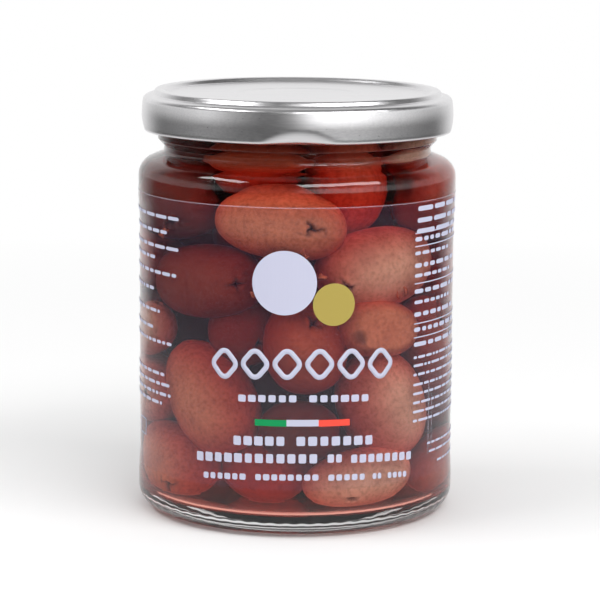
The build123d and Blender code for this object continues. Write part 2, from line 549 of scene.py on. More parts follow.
# %% Settle the loose olives
def settle(steps):
    """Push overlapping chains of balls apart and back inside the bore, letting the loose ones sink.

    Gives the deepest overlap of two balls that is left at the end.
    """
    count, per = len(centres), len(chain)
    owner = np.repeat(np.arange(count), per)
    apart = owner[:, None] != owner[None, :]
    radii = (sizes[:, 1:2] / 2 * np.sqrt(1 - chain**2) * (0.96 + full_ends * chain**2)).ravel()
    near = radii[:, None] + radii[None, :]
    for step in range(steps):
        arms = chain[None, :, None] * sizes[:, 0][:, None, None] / 2 * axes[:, None, :]
        places = (centres[:, None, :] + arms).reshape(-1, 3)
        gap = places[:, None, :] - places[None, :, :]
        distance = np.linalg.norm(gap, axis=-1) + 1e-9
        overlap = np.where(apart & (distance < near), near - distance, 0)
        push = (gap / distance[..., None] * overlap[..., None]).sum(1) * 0.25
        radius = np.hypot(places[:, 0], places[:, 1]) + 1e-9
        room = np.array([wall_room(h) for h in places[:, 2]]) - clearance - radii
        out = np.clip(radius - room, 0, None)
        # The wall, the floor and the brine's level push back more firmly than a neighbour does
        push[:, :2] -= places[:, :2] / radius[:, None] * out[:, None] * 0.6
        push[:, 2] += np.clip(floor_z + dome * 0.6 + radii - places[:, 2], 0, None) * 0.6
        push[:, 2] -= np.clip(places[:, 2] + radii - brine_high.z + 2, 0, None) * 0.6
        push = push.reshape(count, per, 3)
        move = push.mean(1) * 1.6
        # Sinking dies away, and loose ones drift back from the window that the placed ones fill
        move[:, 2] -= 0.03 * (1 - step / steps)
        move[:, 1] += np.where(centres[:, 1] < -8, 0.05, 0.0)
        twist = np.cross(arms, push).mean(1) / (sizes[:, :1] ** 2) * 14
        centres[:] += move * loose[:, None]
        axes[:] += np.cross(twist, axes) * loose[:, None]
        axes[:] /= np.linalg.norm(axes, axis=1)[:, None]
    return float(overlap.max())


print("deepest press between two olives", round(settle(500), 2), "mm")

# %% [markdown]
# Each olive is a ball of points whose pole is the cut that the pitting machine leaves, so that the
# mesh is finest there. A formula gives the long, slightly lopsided oval; the cut is a star of slits
# with lips that curl up, and a small dimple lies opposite the cut.


# %% Shape of one olive
rings, spokes = 44, 44
cut_depth, stem_depth = 1.3, 0.5


def olive_points(length, width, cut_place, draw):
    """Points of one olive, its long axis along X, and how deep each lies in the cut."""
    from_end, above, size = cut_place
    share = (np.arange(1, rings) / rings) ** 1.35
    polar = share * pi
    around = np.arange(spokes) * 2 * pi / spokes
    lean, roll = radians(from_end), radians(above)
    pole = np.array([cos(lean), sin(lean) * cos(roll), sin(lean) * sin(roll)])
    first = np.cross(pole, [0.3, 0.2, 1.0])
    first /= np.linalg.norm(first)
    second = np.cross(pole, first)
    ring = np.cos(around)[:, None] * first + np.sin(around)[:, None] * second
    way = np.cos(polar)[:, None, None] * pole + np.sin(polar)[:, None, None] * ring[None]
    way = np.concatenate([way.reshape(-1, 3), [pole, -pole]])
    x, y, z = way.T
    blunt = draw.uniform(-0.10, 0.10)
    taper = 1 + blunt * x + full_ends * x**2
    half = np.array([length / 2, width / 2, width / 2 * draw.uniform(0.94, 1.0)])
    points = np.stack([x * half[0], y * half[1] * taper, z * half[2] * taper], -1)
    # Three broad swellings or dents, and a slight bend along the whole olive
    for _ in range(3):
        bump = draw.normal(size=3)
        bump /= np.linalg.norm(bump)
        points *= 1 + draw.uniform(-0.03, 0.03) * np.exp(-4 * (1 - way @ bump))[:, None]
    points[:, 1] += draw.uniform(-0.04, 0.04) * (x**2) * width
    # Distance from the cut's middle over the skin, and its star of slits, bent where torn wide
    flat = np.arccos(np.clip(way @ pole, -1, 1)) * (length + width) / 4
    angle = np.arctan2(way @ second, way @ first)
    arms = int(draw.integers(3, 5))
    tear = np.clip((size - 2.0) / 1.2, 0, 1)
    bent = angle - roll + 0.35 * tear * np.sin(2.3 * flat + size)
    beside = np.abs(np.sin(arms * bent / 2)) * flat
    slit = np.exp(-((beside / (0.45 + 0.2 * tear)) ** 2)) * np.clip(1.25 - flat / size, 0, 1)
    hollow = np.exp(-((flat / 0.8) ** 2))
    ragged = 0.28 + 0.55 * tear * (1 + np.sin(3 * angle + 5 * size) * np.sin(7 * angle))
    lip = ragged * np.exp(-(((flat - size * 0.8) / 0.7) ** 2)) * (1 - slit)
    stem = np.exp(-(((way @ -pole) - 1) ** 2) / 0.0006)
    normal = way / np.linalg.norm(way, axis=1)[:, None]
    raised = lip - cut_depth * np.maximum(slit, hollow) - stem_depth * stem
    points += normal * raised[:, None]
    cut = np.clip(np.maximum(slit, hollow) + 0.6 * stem, 0, 1)
    return points, cut


one_olive = ring_faces(rings - 1, spokes)
print("one olive has", sum(len(f) - 2 for f in one_olive), "triangles")

# %% [markdown]
# The flesh is matt under its skin and shades from purple-brown to orange-brown, so each point
# carries the olive's tone and how deep it lies in a cut. The olives deep in the middle carry
# painted shade in their tone, and the cuts are painted near-black as painted shade. A light skin
# blotch and tiny pale specks come from noise at a real size, which keeps neighbours of one tone
# from looking alike.


# %% Olive material
def olive_material():
    """Cured Kalamon olive with a satin skin."""
    material, tree = new_material("cured_olive_skin")
    coords = add_node(tree, COORDS).outputs["Object"]
    tone = add_node(tree, VALUE, {"attribute_name": "tone"}).outputs["Fac"]
    cut = add_node(tree, VALUE, {"attribute_name": "cut"}).outputs["Fac"]
    # The darkest stop is painted shade, for the olives deep in the middle of the jar
    ripeness_and_shade = [(0.0, "#34100c"), (0.05, "#7a342a"), (0.35, "#bc5440"), (0.6, "#e0623a")]
    ripeness_and_shade += [(0.8, "#f09a74"), (1.0, "#ffc8aa")]
    base = add_node(tree, RAMP, {"stops": ripeness_and_shade}, tone)
    # Worn blotches 8 mm across, and grain just under a millimetre, each darken what lies below
    worn = [(0.3, "#b8948c"), (0.47, "#ead8d2"), (0.58, "#ffffff"), (0.75, "#fff0e4")]
    grain = [(0.35, "#c8b4ae"), (0.55, "#ffffff")]
    for size, detail, roughness, stops in ((8, 5.0, 0.62, worn), (0.9, 3.0, 0.6, grain)):
        scale = 1 / (size * MM)
        noise = add_node(
            tree, NOISE, Vector=coords, Scale=scale, Detail=detail, Roughness=roughness
        )
        shade = add_node(tree, RAMP, {"stops": stops}, noise)
        base = add_node(tree, MIX, MULTIPLIED, _0=0.45, _6=base, _7=shade).outputs[2]
    speck = add_node(tree, "ShaderNodeTexVoronoi", Vector=coords, Scale=1 / (1.6 * MM))
    dots = add_node(tree, RAMP, {"stops": [(0.0, "#ffffff"), (0.11, "#000000")]}, speck)
    screened = {"data_type": "RGBA", "blend_type": "SCREEN"}
    dotted = add_node(tree, MIX, screened, _0=0.2, _6=base, _7=dots).outputs[2]
    # The slits, the hollow and the dimple opposite are painted near-black: painted shade where they
    # sink in
    cut_shade_colour = linear("#2a0d0a")
    cut_shaded = add_node(tree, MIX, {"data_type": "RGBA"}, _0=cut, _6=dotted, _7=cut_shade_colour).outputs[2]
    skin = add_node(tree, NOISE, Vector=coords, Scale=1 / (2.6 * MM), Detail=4.0, Roughness=0.6)
    bump = add_node(tree, "ShaderNodeBump", Strength=0.35, Distance=0.5 * MM, Height=skin)
    shader = add_node(
        tree,
        PRINCIPLED,
        Base_Color=cut_shaded,
        Roughness=0.45,
        IOR=1.4,
        Specular_IOR_Level=0.06,
        Normal=bump,
    )
    add_node(tree, OUTPUT, Surface=shader)
    return material


# %% Fill the jar with olives
brine_film = 0.1  # an olive that is pressed to the glass keeps this much brine between


def pressed_in(points):
    """Points flattened where they would pass the glass, its floor or the level of the brine."""
    reach = np.hypot(points[:, 0], points[:, 1])
    lowest = floor_z + dome * np.clip(2 - 3 * reach / inner_radius, 0, 1) + brine_film
    up = np.clip(points[:, 2], lowest, brine_high.z - 3 * brine_film)
    room = np.array([wall_room(h) for h in up]) - brine_film
    squeeze = np.minimum(1, room / np.maximum(reach, brine_film))
    return np.column_stack([points[:, 0] * squeeze, points[:, 1] * squeeze, up])


all_points, all_faces, all_tone, all_cut = [], [], [], []
tone_spread = 0.12  # each olive's tone strays from its given one by about this much
shape_draw = np.random.default_rng(21)
for centre, axis, (length, width), tone, cut_place in zip(centres, axes, sizes, tones, cuts):
    points, cut = olive_points(length, width, cut_place, shape_draw)
    outward = np.array([centre[0], centre[1], 0.0])
    outward -= axis * (outward @ axis)
    outward /= np.linalg.norm(outward)
    upward = np.cross(outward, axis)
    placed = pressed_in(centre + points @ np.array([axis, outward, upward]))
    start = sum(len(p) for p in all_points)
    all_points.append(placed)
    all_faces += [tuple(i + start for i in f) for f in one_olive]
    all_tone += [tone + tone_spread * shape_draw.normal()] * len(placed)
    all_cut += list(cut)
olives = mesh_object("olives", np.vstack(all_points), all_faces)
add_values(olives.data, "tone", np.clip(all_tone, 0, 1))
add_values(olives.data, "cut", np.clip(all_cut, 0, 1))
olives.data.materials.append(olive_material())
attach(olives, "root")
past = max(np.hypot(x, y) - wall_room(z) for points in all_points for x, y, z in points)
print("olives:", len(one_olive) * len(centres), "faces, past the bore", round(float(past), 2), "mm")

# %% [markdown]
# Pitting tears the flesh, and shreds of it stay on the olives or hang between them. Each is a thin
# tapering strip that curls, laid just inside the glass, with a pale tone that is painted light, for
# the light that comes through it.

# %% Torn shreds of flesh
# turn (deg), height (mm), distance inside the bore (mm), way it points (deg), length and width (mm)
shreds = [
    (2.3, 66.0, 1.4, -80, 3.4, 1.1),
    (2.9, 64.6, 1.2, -40, 2.2, 0.9),
    (11.4, 58.9, 1.6, 150, 3.6, 1.4),
    (13.0, 57.6, 1.6, 200, 2.6, 1.1),
    (-16.2, 56.9, 1.5, 20, 3.0, 1.3),
    (-17.6, 55.6, 1.4, -30, 2.6, 1.0),
    (9.0, 47.2, 3.0, 10, 4.2, 1.6),
    (13.5, 46.2, 3.2, -25, 3.6, 1.3),
    (44.4, 56.0, 1.2, -60, 5.0, 1.0),
    (41.8, 55.2, 1.4, -75, 4.0, 0.8),
    (38.4, 45.6, 1.6, 110, 4.4, 1.3),
    (36.4, 44.2, 1.8, 80, 3.2, 1.0),
    (-60.0, 67.5, 1.2, 30, 4.4, 1.2),
    (-63.5, 66.4, 1.4, -20, 3.4, 1.0),
]
shred_steps = 9
shred_curl = 1.9  # how far a shred curls from root to tip, in radians
# A pale tone: painted light, for the light that shines through a thin shred
shred_lit_tone = 0.75


def shred_points(turn, height, inside_wall, way, length, width):
    """Cross-sections of one shred, four points each, from its root to its tip."""
    out, side, up = tangent_frame(turn)
    along = tilted(side, up, way)
    across = np.cross(out, along)
    root = out * (inner_radius - inside_wall) + up * height
    points = []
    for k in range(shred_steps):
        t = k / (shred_steps - 1)
        bent = shred_curl * t
        centre = root + along * length * sin(bent) / shred_curl - out * length * (1 - cos(bent)) / 5
        centre = centre + across * 0.25 * sin(5 * t + turn)
        half = width / 2 * (0.15 + sin(pi * (0.12 + 0.84 * t)) * (1 + 0.25 * sin(9 * t + height)))
        thick = 0.28 * (1.05 - t)
        sideways, outward = across * half, out * thick
        points += [centre + sideways, centre + outward, centre - sideways, centre - outward]
    return np.array(points)


one_shred = [(3, 2, 1, 0), tuple(4 * shred_steps - 4 + k for k in range(4))]
for k in range(0, 4 * shred_steps - 4, 4):
    one_shred += [(k + i, k + (i + 1) % 4, k + 4 + (i + 1) % 4, k + 4 + i) for i in range(4)]
shred_faces = []
for start in range(0, 4 * shred_steps * len(shreds), 4 * shred_steps):
    shred_faces += [tuple(i + start for i in f) for f in one_shred]
shred_mesh = np.vstack([shred_points(*shred) for shred in shreds])
torn_flesh = mesh_object("olive_shreds", shred_mesh, shred_faces)
add_values(torn_flesh.data, "tone", [shred_lit_tone] * len(shred_mesh))
torn_flesh.data.materials.append(olives.data.materials[0])
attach(torn_flesh, "root")
print(len(shreds), "shreds,", len(shred_faces), "faces")

# %% [markdown]
# ## The label
# The label is a clear film. Nothing holds it off the glass, so it shows only as a faint milky veil
# with a crisp edge, and by what is printed on it. It is a closed tube less than a tenth of a
# millimetre thick.


# %% Film
def polypropylene(name, colour, roughness, veil):
    """Clear polypropylene: a satin face and a milky veil, from 0 for none to 1 for white."""
    material, tree = new_material(name)
    colour = linear(colour)
    shader = add_node(
        tree, PRINCIPLED, Base_Color=colour, Roughness=roughness, IOR=1.49, Alpha=veil
    )
    add_node(tree, OUTPUT, Surface=shader)
    return material


film_foot, film_top = label_low.z, label_high.z
film_face = 0.07  # the film's outer face above the glass
film_thickness = 0.06


def film_radius(height):
    """Outer radius of the film, which follows the panel and the bands above and below it."""
    off = max(0.0, panel_foot - height, height - panel_top) / band_slope
    return panel_radius + band_rise * min(1.0, off) + film_face


film_heights = np.linspace(film_foot, film_top, 60)
face = [(film_radius(h), h) for h in film_heights]
back = [(r - film_thickness, h) for r, h in reversed(face)]
film = turned("label_film", np.array(face + back), 256, ring=True)
film.data.materials.append(polypropylene("clear_polypropylene_film", "#c0a8cc", 0.3, 0.013))
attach(film, "root")
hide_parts("label")

# %% [markdown]
# The cut edge of the film catches the light along its whole length, as the edge of any clear sheet
# does, so a hair-thin ring of its own, paler and less clear than the film, stands for it as a
# painted highlight.

# %% Cut edge of the film
edge_height = 0.22
edge_lip = 0.02  # the cut leaves a lip that stands out from the film
edge_thickness = 0.09
edge_line = [(film_radius(h) + edge_lip, h) for h in (film_top - edge_height, film_top)]
edge_line += [(r - edge_thickness, h) for r, h in reversed(edge_line)]
edge = turned("label_film_edge", np.array(edge_line), 256, ring=True)
# Paler and less clear than the film: a painted highlight
edge.data.materials.append(polypropylene("cut_film_edge", "#e6dcec", 0.5, 0.18))
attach(edge, "root")

# %% [markdown]
# The print is ink on the film, a few hundredths of a millimetre thick. Lines of small type read
# from arm's length as rows of bars, so that is how they are made here: one rule bends a flat bar of
# any length and height round the film, and rounds its ends. Each ink is one object. Two plain discs
# and a chain of lozenges stand where a pack has its device and its heading.


# %% Start and end of a print's node tree
def print_tree(name, *measures):
    """A node tree that turns points into a print, with its named inputs."""
    tree = bpy.data.node_groups.new(name, "GeometryNodeTree")
    kinds = {"Points": "Geometry", **dict.fromkeys(measures, "Float"), "Finish": "Material"}
    for socket, kind in kinds.items():
        tree.interface.new_socket(socket, in_out="INPUT", socket_type="NodeSocket" + kind)
    tree.interface.new_socket("Print", in_out="OUTPUT", socket_type="NodeSocketGeometry")
    return tree, add_node(tree, "NodeGroupInput").outputs


def wrap_print(tree, given, flat, along, up, radius):
    """Wrap a flat print round the film, give it its ink and put it out."""
    angle = add_node(tree, MATHS, "DIVIDE", along, given["Film radius"])
    forward = add_node(tree, MATHS, "MULTIPLY", radius, add_node(tree, MATHS, "COSINE", angle))
    wrapped = add_node(
        tree,
        JOIN,
        X=add_node(tree, MATHS, "MULTIPLY", radius, add_node(tree, MATHS, "SINE", angle)),
        Y=add_node(tree, MATHS, "MULTIPLY", forward, -1.0),
        Z=up,
    )
    moved = add_node(tree, "GeometryNodeSetPosition", Geometry=flat, Position=wrapped)
    inked = add_node(tree, "GeometryNodeSetMaterial", Geometry=moved, Material=given["Finish"])
    add_node(tree, "NodeGroupOutput", Print=inked)


# %% One rule for every printed bar
bar_values = ("along", "up", "wide", "high", "corner")


def printed_bars():
    """Node tree: a bar at each point, sized by the point's own values, wrapped round the film."""
    tree, given = print_tree("printed_bars", "Film radius", "Band rise", "Ink")
    blank = add_node(
        tree, "GeometryNodeMeshCube", Size=(2, 2, 2), Vertices_X=25, Vertices_Y=2, Vertices_Z=3
    )
    place = add_node(tree, "GeometryNodeInputPosition")
    vector = {"data_type": "FLOAT_VECTOR"}
    marked = add_node(
        tree, "GeometryNodeStoreNamedAttribute", vector, Geometry=blank, Name="local", Value=place
    )
    bars = add_node(tree, "GeometryNodeInstanceOnPoints", Points=given["Points"], Instance=marked)
    real = add_node(tree, "GeometryNodeRealizeInstances", Geometry=bars)
    local = add_node(tree, "GeometryNodeInputNamedAttribute", vector, Name="local")
    u, skin, v = add_node(tree, SPLIT, Vector=local).outputs
    along, up, wide, high, corner = (
        add_node(tree, "GeometryNodeInputNamedAttribute", {"data_type": "FLOAT"}, Name=name)
        for name in bar_values
    )
    # Half width and height, and a corner no larger than either
    wide = add_node(tree, MATHS, "MULTIPLY", wide, 0.5)
    high = add_node(tree, MATHS, "MULTIPLY", high, 0.5)
    corner = add_node(tree, MATHS, "MINIMUM", corner, add_node(tree, MATHS, "MINIMUM", wide, high))
    # Points crowd towards the bar's ends, where a quarter circle of the corner's size ends it
    ease = add_node(tree, MATHS, "SINE", add_node(tree, MATHS, "MULTIPLY", u, pi / 2))
    reach = add_node(tree, MATHS, "MULTIPLY", ease, wide)
    straight = add_node(tree, MATHS, "SUBTRACT", wide, corner)
    past = add_node(tree, MATHS, "SUBTRACT", add_node(tree, MATHS, "ABSOLUTE", reach), straight)
    # Just short of the full corner, so that the tip keeps a hair of height
    past = add_node(tree, MATHS, "MULTIPLY", add_node(tree, MATHS, "MAXIMUM", past, 0.0), 0.998)
    square = add_node(
        tree,
        MATHS,
        "SUBTRACT",
        add_node(tree, MATHS, "POWER", corner, 2.0),
        add_node(tree, MATHS, "POWER", past, 2.0),
    )
    arc = add_node(tree, MATHS, "SQRT", add_node(tree, MATHS, "MAXIMUM", square, 0.0))
    half = add_node(tree, MATHS, "ADD", add_node(tree, MATHS, "SUBTRACT", high, corner), arc)
    height = add_node(tree, MATHS, "ADD", up, add_node(tree, MATHS, "MULTIPLY", v, half))
    # Wrap round the film, which stands out by the band's rise above and below the panel
    band_top, band_foot = panel_foot - band_slope, panel_top + band_slope
    lower = add_node(tree, RANGE, Value=height, From_Min=panel_foot * MM, From_Max=band_top * MM)
    upper = add_node(tree, RANGE, Value=height, From_Min=panel_top * MM, From_Max=band_foot * MM)
    off = add_node(tree, MATHS, "MAXIMUM", lower, upper)
    rise = add_node(tree, MATHS, "MULTIPLY", off, given["Band rise"])
    layer = add_node(
        tree, MATHS, "MULTIPLY", add_node(tree, MATHS, "MULTIPLY", skin, 0.5), given["Ink"]
    )
    radius = add_node(tree, MATHS, "ADD", given["Film radius"], rise)
    radius = add_node(tree, MATHS, "ADD", radius, layer)
    wrap_print(tree, given, real, add_node(tree, MATHS, "ADD", along, reach), height, radius)
    return tree


# %% [markdown]
# Screen ink dries to a matt, opaque layer that hides the glass wholly, so its finish is a plain
# rough one with a slightly uneven coat: letters keep their colour over dark and bright olives
# alike.


# %% Ink and printing
def ink(name, colour):
    """Opaque matt screen ink of one colour."""
    material, tree = new_material(name)
    coords = add_node(tree, COORDS).outputs["Object"]
    coat = add_node(tree, NOISE, Vector=coords, Scale=1 / (2 * MM), Detail=2.0)
    rough = add_node(tree, RANGE, Value=coat, To_Min=0.5, To_Max=0.65)
    shader = add_node(
        tree, PRINCIPLED, Base_Color=linear(colour), Roughness=rough, Specular_IOR_Level=0.2
    )
    add_node(tree, OUTPUT, Surface=shader)
    return material


bar_tree = printed_bars()
ink_radius = panel_radius + 0.09  # middle of the ink's layer, on the film
ink_thickness = 0.03


def run_tree(name, mesh, tree, **inputs):
    """Run a print's node tree once on a mesh of points, and keep the print as a plain object."""
    source = in_scene(name + "_source", mesh)
    modifier = source.modifiers.new(name, "NODES")
    modifier.node_group = tree
    for socket in tree.interface.items_tree:
        key = socket.name.replace(" ", "_")
        if socket.in_out == "INPUT" and key in inputs:
            modifier[socket.identifier] = inputs[key]
    bpy.context.view_layer.update()
    evaluated = source.evaluated_get(bpy.context.evaluated_depsgraph_get())
    made = bpy.data.meshes.new_from_object(evaluated)
    made.name = name
    bpy.data.objects.remove(source)
    turn_outward(made)
    return in_scene(name, made)


def print_ink(name, bars, finish):
    """Print a list of (along, up, wide, high, corner) bars, in millimetres, as one object."""
    mesh = bpy.data.meshes.new(name + "_points")
    mesh.from_pydata([(0, 0, 0)] * len(bars), [], [])
    for key, column in zip(bar_values, np.transpose(bars)):
        add_values(mesh, key, column * MM)
    obj = run_tree(
        name,
        mesh,
        bar_tree,
        Film_radius=ink_radius * MM,
        Band_rise=band_rise * MM,
        Ink=ink_thickness * MM,
        Finish=finish,
    )
    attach(obj, "root")
    print(name, len(bars), "bars,", len(obj.data.polygons), "faces")
    return obj


# %% [markdown]
# The layout: a centred block in front, and on either side of it a column of small type, which is
# all a wrap-round label has room for. Centred rows sag a little at their ends. Words are cut from
# each row by a seeded rule. Lengths run along the film from its front, and heights from the jar's
# foot.

# %% Lay out the label
middle = 1.8
block_half = 27.0  # half width of the centred block
block_sag = 1.2
type_draw = np.random.default_rng(5)


def sag(along):
    """How much a centred row drops away from its middle."""
    return block_sag * ((along - middle) / block_half) ** 2


def words(start, end, up, height, longest=6.0):
    """Bars for the words of one small row, from start to end."""
    row = []
    at = start
    while at < end - height:
        wide = min(end - at, height * type_draw.uniform(1.6, longest))
        row.append((at + wide / 2, up, wide, height, height / 2))
        at += wide + height * 0.7
    return row


def letters(start, end, up, height, pitch):
    """Blocks at the rhythm of letters along one centred row, from start to end."""
    count = max(1, round((end - start) / pitch))
    step = (end - start) / count
    row = []
    for k in range(count):
        at = start + step * (k + 0.5)
        wide = step * type_draw.uniform(0.66, 0.8)
        row.append((at, up - sag(at), wide, height, 0.35))
    return row


# The two discs, and a stripe in three colours between the rows of letters
stripe_up = 26.85
white_bars = [(-2.6, 58.5, 14.5, 14.5, 7.25), (1.7, stripe_up - sag(1.8), 7.2, 1.5, 0)]
lime_bars = [(8.6, 53.6, 9.6, 9.6, 4.8)]
green_bars = [(-5.5, stripe_up - sag(-5.5), 7.2, 1.5, 0)]
red_bars = [(8.9, stripe_up - sag(9.0), 7.2, 1.5, 0)]
# Start, end, height above the foot, height of the letters and their pitch
for start, end, up, height, pitch in (
    (-13.3, 0.6, 32.4, 1.6, 2.3),
    (2.8, 17.4, 32.4, 1.6, 2.3),
    (-14.5, -2.0, 22.7, 2.1, 2.5),
    (0.0, 18.6, 22.7, 2.1, 2.5),
    (-24.1, 5.4, 18.7, 2.1, 2.5),
    (7.2, 11.0, 18.7, 1.9, 2.2),
    (12.6, 29.8, 18.5, 1.9, 2.2),
    (-22.1, -11.0, 14.4, 1.4, 1.9),
    (-9.2, 5.6, 14.4, 1.4, 1.9),
    (7.4, 16.6, 14.3, 1.4, 1.9),
    (18.2, 20.8, 14.3, 1.3, 1.6),
    (22.2, 28.2, 14.3, 1.3, 1.6),
):
    white_bars += letters(start, end, up, height, pitch)

small_type = []
# The left column, then the right one
for up, end in ((71, -29), (67.5, -34), (64, -28.5), (61.3, -39), (58, -30), (54, -39)):
    small_type += words(-60, end, up, 0.8)
for up, end in (
    (49, -37),
    (45, -40),
    (42, -31),
    (34.6, -35),
    (32.3, -33),
    (30.0, -32.5),
    (27.8, -36),
):
    small_type += words(-58, end, up, 0.75)
for up, end in ((74, 52), (71.3, 55), (68.8, 54)):
    small_type += words(30.5, end, up - 0.2, 1.1, 8.0)
for up in (66.8, 60.8, 54.9, 49.6, 46.1, 42.7):
    small_type += words(30, 52, up, 1.0, 5.0)
for up in (63.6, 58.5, 52.4):
    small_type += words(30, 47, up, 0.8, 4.0)
for up in (39.7, 37.8, 35.7, 33.4, 31.3, 29.2, 27.1, 25.0):
    small_type += words(30, 58, up, 0.6, 7.0)
for up, start in ((19.0, 35.6), (17.0, 36.5), (14.2, 40.6)):
    small_type += words(start, 58, up, 0.55, 7.0)
rules = [(46, up, 32, 0.25, 0) for up in (68.2, 65.2, 56.7, 47.5, 44.3)]
rules += [(-47.5, 22.5, 5.0, 0.25, 0), (-47.5, 18.8, 5.0, 0.25, 0), (-45.1, 20.65, 0.25, 3.9, 0)]
rules += [(-49.9, 20.65, 0.25, 3.9, 0)]

white_ink = ink("white_screen_ink", "#bdbed2")
print_ink("print_white", white_bars + small_type + rules, white_ink)
print_ink("print_lime", lime_bars, ink("lime_screen_ink", "#a8964c"))
print_ink("print_green", green_bars, ink("green_screen_ink", "#0b8f52"))
print_ink("print_red", red_bars, ink("red_screen_ink", "#ee4f40"))

# %% [markdown]
# Film that is pulled round a jar creases where its ends meet. A crease shows as a fine pale line,
# with the same painted-highlight finish as the cut edge.

# %% Creases in the film
# As bars: along, up, wide, high and corner
creases = [(36.0, 25.0, 0.25, 17.0, 0), (37.4, 24.0, 0.2, 13.0, 0)]
print_ink("label_film_creases", creases, edge.data.materials[0])

# %% [markdown]
# The chain of lozenges is a row of one shape, so the node tree holds one lozenge line, rounds its
# corners, gives it the width of a pen stroke, and wraps the row round the film.


# %% Lozenge chain
def lozenge_chain():
    """Node tree: a row of rounded lozenge outlines wrapped round the film."""
    measures = ("Film radius", "Lozenge width", "Lozenge height", "Stroke", "Ink")
    tree, given = print_tree("lozenge_chain", *measures)
    half_height = add_node(tree, MATHS, "MULTIPLY", given["Lozenge height"], 0.5)
    outline = add_node(
        tree,
        "GeometryNodeCurvePrimitiveQuadrilateral",
        {"mode": "KITE"},
        Width=given["Lozenge width"],
        Bottom_Height=half_height,
        Top_Height=half_height,
    )
    soft = add_node(
        tree,
        "GeometryNodeFilletCurve",
        {"mode": "POLY"},
        Curve=outline,
        Count=5,
        Radius=add_node(tree, MATHS, "MULTIPLY", given["Lozenge width"], 0.22),
        Limit_Radius=True,
    )
    fine = add_node(tree, "GeometryNodeSubdivideCurve", Curve=soft, Cuts=3)
    row = add_node(tree, "GeometryNodeInstanceOnPoints", Points=given["Points"], Instance=fine)
    real = add_node(tree, "GeometryNodeRealizeInstances", Geometry=row)
    upright = add_node(tree, "GeometryNodeSetCurveNormal", {"mode": "Z_UP"}, Curve=real)
    nib = add_node(
        tree, "GeometryNodeCurvePrimitiveQuadrilateral", Width=given["Stroke"], Height=given["Ink"]
    )
    swept = add_node(tree, "GeometryNodeCurveToMesh", Curve=upright, Profile_Curve=nib)
    place = add_node(tree, "GeometryNodeInputPosition")
    along, up, skin = add_node(tree, SPLIT, Vector=place).outputs
    radius = add_node(tree, MATHS, "ADD", given["Film radius"], skin)
    wrap_print(tree, given, swept, along, up, radius)
    return tree


lozenge_count = 6
lozenge_pitch = 7.3
lozenge_up = 40.2
places = [middle + (k - (lozenge_count - 1) / 2) * lozenge_pitch for k in range(lozenge_count)]
chain_points = bpy.data.meshes.new("lozenge_points")
chain_points.from_pydata([(s * MM, (lozenge_up - sag(s)) * MM, 0) for s in places], [], [])
chain_print = run_tree(
    "print_lozenges",
    chain_points,
    lozenge_chain(),
    Film_radius=ink_radius * MM,
    Lozenge_width=6.3 * MM,
    Lozenge_height=7.4 * MM,
    Stroke=1.15 * MM,
    Ink=ink_thickness * MM,
    Finish=white_ink,
)
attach(chain_print, "root")
chain_size = [round(v / MM, 2) for v in chain_print.dimensions]
print("lozenges:", len(chain_print.data.polygons), "faces", chain_size)

# %% [markdown]
# ## The lid
# A twist-off lid is drawn from lacquered tinplate. Its outline is turned like the glass, then four
# lugs are pressed in at the foot of the skirt: below an arch-shaped line the steel slopes inwards,
# and the curl goes with it.

# %% Lid outline and lugs
sheet_steel = 0.25
lid_top, lid_foot = lid_high.z, lid_low.z
bead_height = 1.0
bead_inner, bead_outer = 31.2, 33.0
panel_z = lid_top - bead_height
button_radius, button_slope, button_drop = 13.9, 1.2, 0.3
skirt_taper = 0.35  # the skirt's top is this much narrower than its foot
lug_turn = 0.8
lug_half = 16.0  # half the turn that a lug's arch takes up
lug_height = 3.6
lug_depth = 1.5
curl = 0.75

top_side = [
    (0, panel_z - button_drop, 0),
    (button_radius, panel_z - button_drop, 1.2),
    (button_radius + button_slope, panel_z, 1.2),
    (bead_inner - 0.8, panel_z, 0.6),
    (bead_inner, lid_top, 0.8),
    (bead_outer, lid_top, 0.6),
    (bead_outer + 0.6, lid_top - 1.1, 0.35),
    (lid_radius - skirt_taper, lid_top - 1.6, 1.3),
    (lid_radius, lid_top - 4.6, 24.0),
    (lid_radius, lid_foot + curl, 0),
]
outer_line = rounded(top_side, 0.2)
curl_angles = np.linspace(0, -1.5 * pi, 16)
curl_line = np.stack(
    [
        lid_radius - curl + curl * np.cos(curl_angles),
        lid_foot + curl + curl * np.sin(curl_angles),
    ],
    -1,
)


def inner_line():
    """The sheet's underside from skirt to axis: the outer line moved in by its thickness."""
    step = np.gradient(outer_line, axis=0)
    step /= np.linalg.norm(step, axis=1)[:, None]
    inward = np.stack([step[:, 1], -step[:, 0]], -1)
    moved = outer_line + inward * sheet_steel
    keep = moved[:, 1] > lid_foot + 2 * curl
    return moved[keep][::-1]


def press_lugs(grid, angles):
    """Slope the foot of the skirt inwards below an arch at each lug."""
    r = np.hypot(grid[..., 0], grid[..., 1])
    z = grid[..., 2]
    front = np.degrees(angles) + 90 - lug_turn
    off = (front + 45) % 90 - 45
    arch = np.clip(1 - (off / lug_half) ** 2, 0, 1)
    share = np.clip((lid_foot + lug_height * arch - z) / lug_height, 0, 1)
    press = lug_depth * share**2
    press = np.where(r > lid_radius - 2 * curl - 0.3, press, 0)
    scale = (r - press) / np.maximum(r, 1e-6)
    grid[..., 0] *= scale
    grid[..., 1] *= scale
    return grid


lid_outline = np.vstack([outer_line[:-1], curl_line, inner_line()])
lid_outline = filled_in(lid_outline, 0.6)
lid_outline[-1, 0] = 0.0
lid_outline = lid_outline[::-1]
print("lid outline", len(lid_outline), "points")

# %% [markdown]
# Tinplate is rolled, which leaves fine straight lines, and a clear lacquer makes it satin. The
# lines run one way over the whole sheet, so they are noise stretched along X: the lid mirrors the
# room softly, a little more along the lines than across them.


